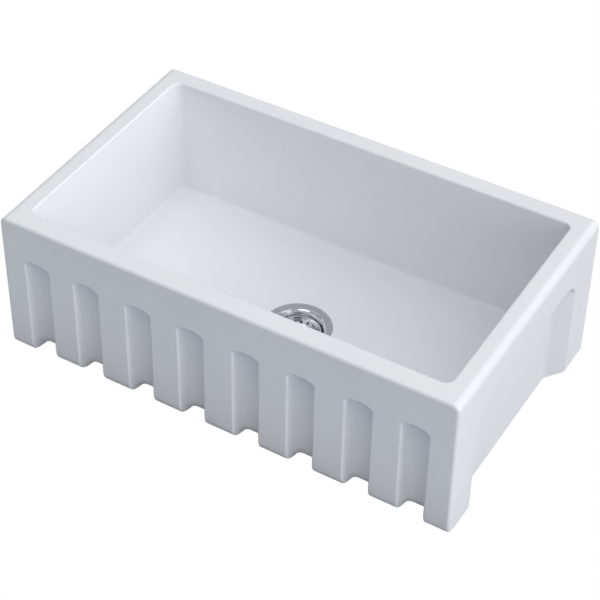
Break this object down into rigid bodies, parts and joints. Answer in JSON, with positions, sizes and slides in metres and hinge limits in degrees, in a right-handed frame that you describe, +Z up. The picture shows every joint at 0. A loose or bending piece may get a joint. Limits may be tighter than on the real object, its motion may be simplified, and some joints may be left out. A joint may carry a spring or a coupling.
{
  "type": "farmhouse apron front sink",
  "caption": "Deep rectangular white fireclay basin with a fluted apron front and recessed side panels, with a basket strainer and tailpiece in its floor.",
  "frame": {"origin": "on the base plane, under the axis of the drain, which is the middle of the sink's outline", "axes": "+X right along the apron front, +Y from the apron front to the back, +Z up"},
  "size_m": [0.762, 0.4572, 0.396],
  "materials": {
    "fireclay_glaze": "thick glossy white glaze over fireclay, unglazed on the foot ring",
    "stainless_satin": "spun satin flange with brighter steps",
    "stainless_bright": "polished stainless sheet",
    "bright_chrome": "bright plated brass",
    "nut_brass": "rough cast brass",
    "black_rubber": "matt moulded rubber",
    "putty": "pale sealing putty",
    "fibre_board": "pressed fibre",
    "soft_plastic": "milky soft plastic"
  },
  "bodies": {
    "sink": {"sink_basin": "fireclay_glaze", "strainer_body": "stainless_satin", "flange_putty": "putty", "rubber_gasket": "black_rubber", "friction_ring": "fibre_board", "locknut": "nut_brass", "tailpiece_washer": "soft_plastic", "coupling_nut": "bright_chrome", "tailpiece": "bright_chrome"},
    "basket": {"basket_cup": "stainless_bright", "basket_post": "stainless_bright", "basket_knob": "stainless_bright", "stopper_seal": "black_rubber", "stopper_washer": "stainless_bright", "post_nut": "stainless_bright", "spring_clip": "stainless_bright"}
  },
  "joints": [
    {"name": "basket_lift", "type": "slide", "parent": "sink", "child": "basket", "axis": [0, 0, 1], "range_m": [0, 0.3]}
  ]
}
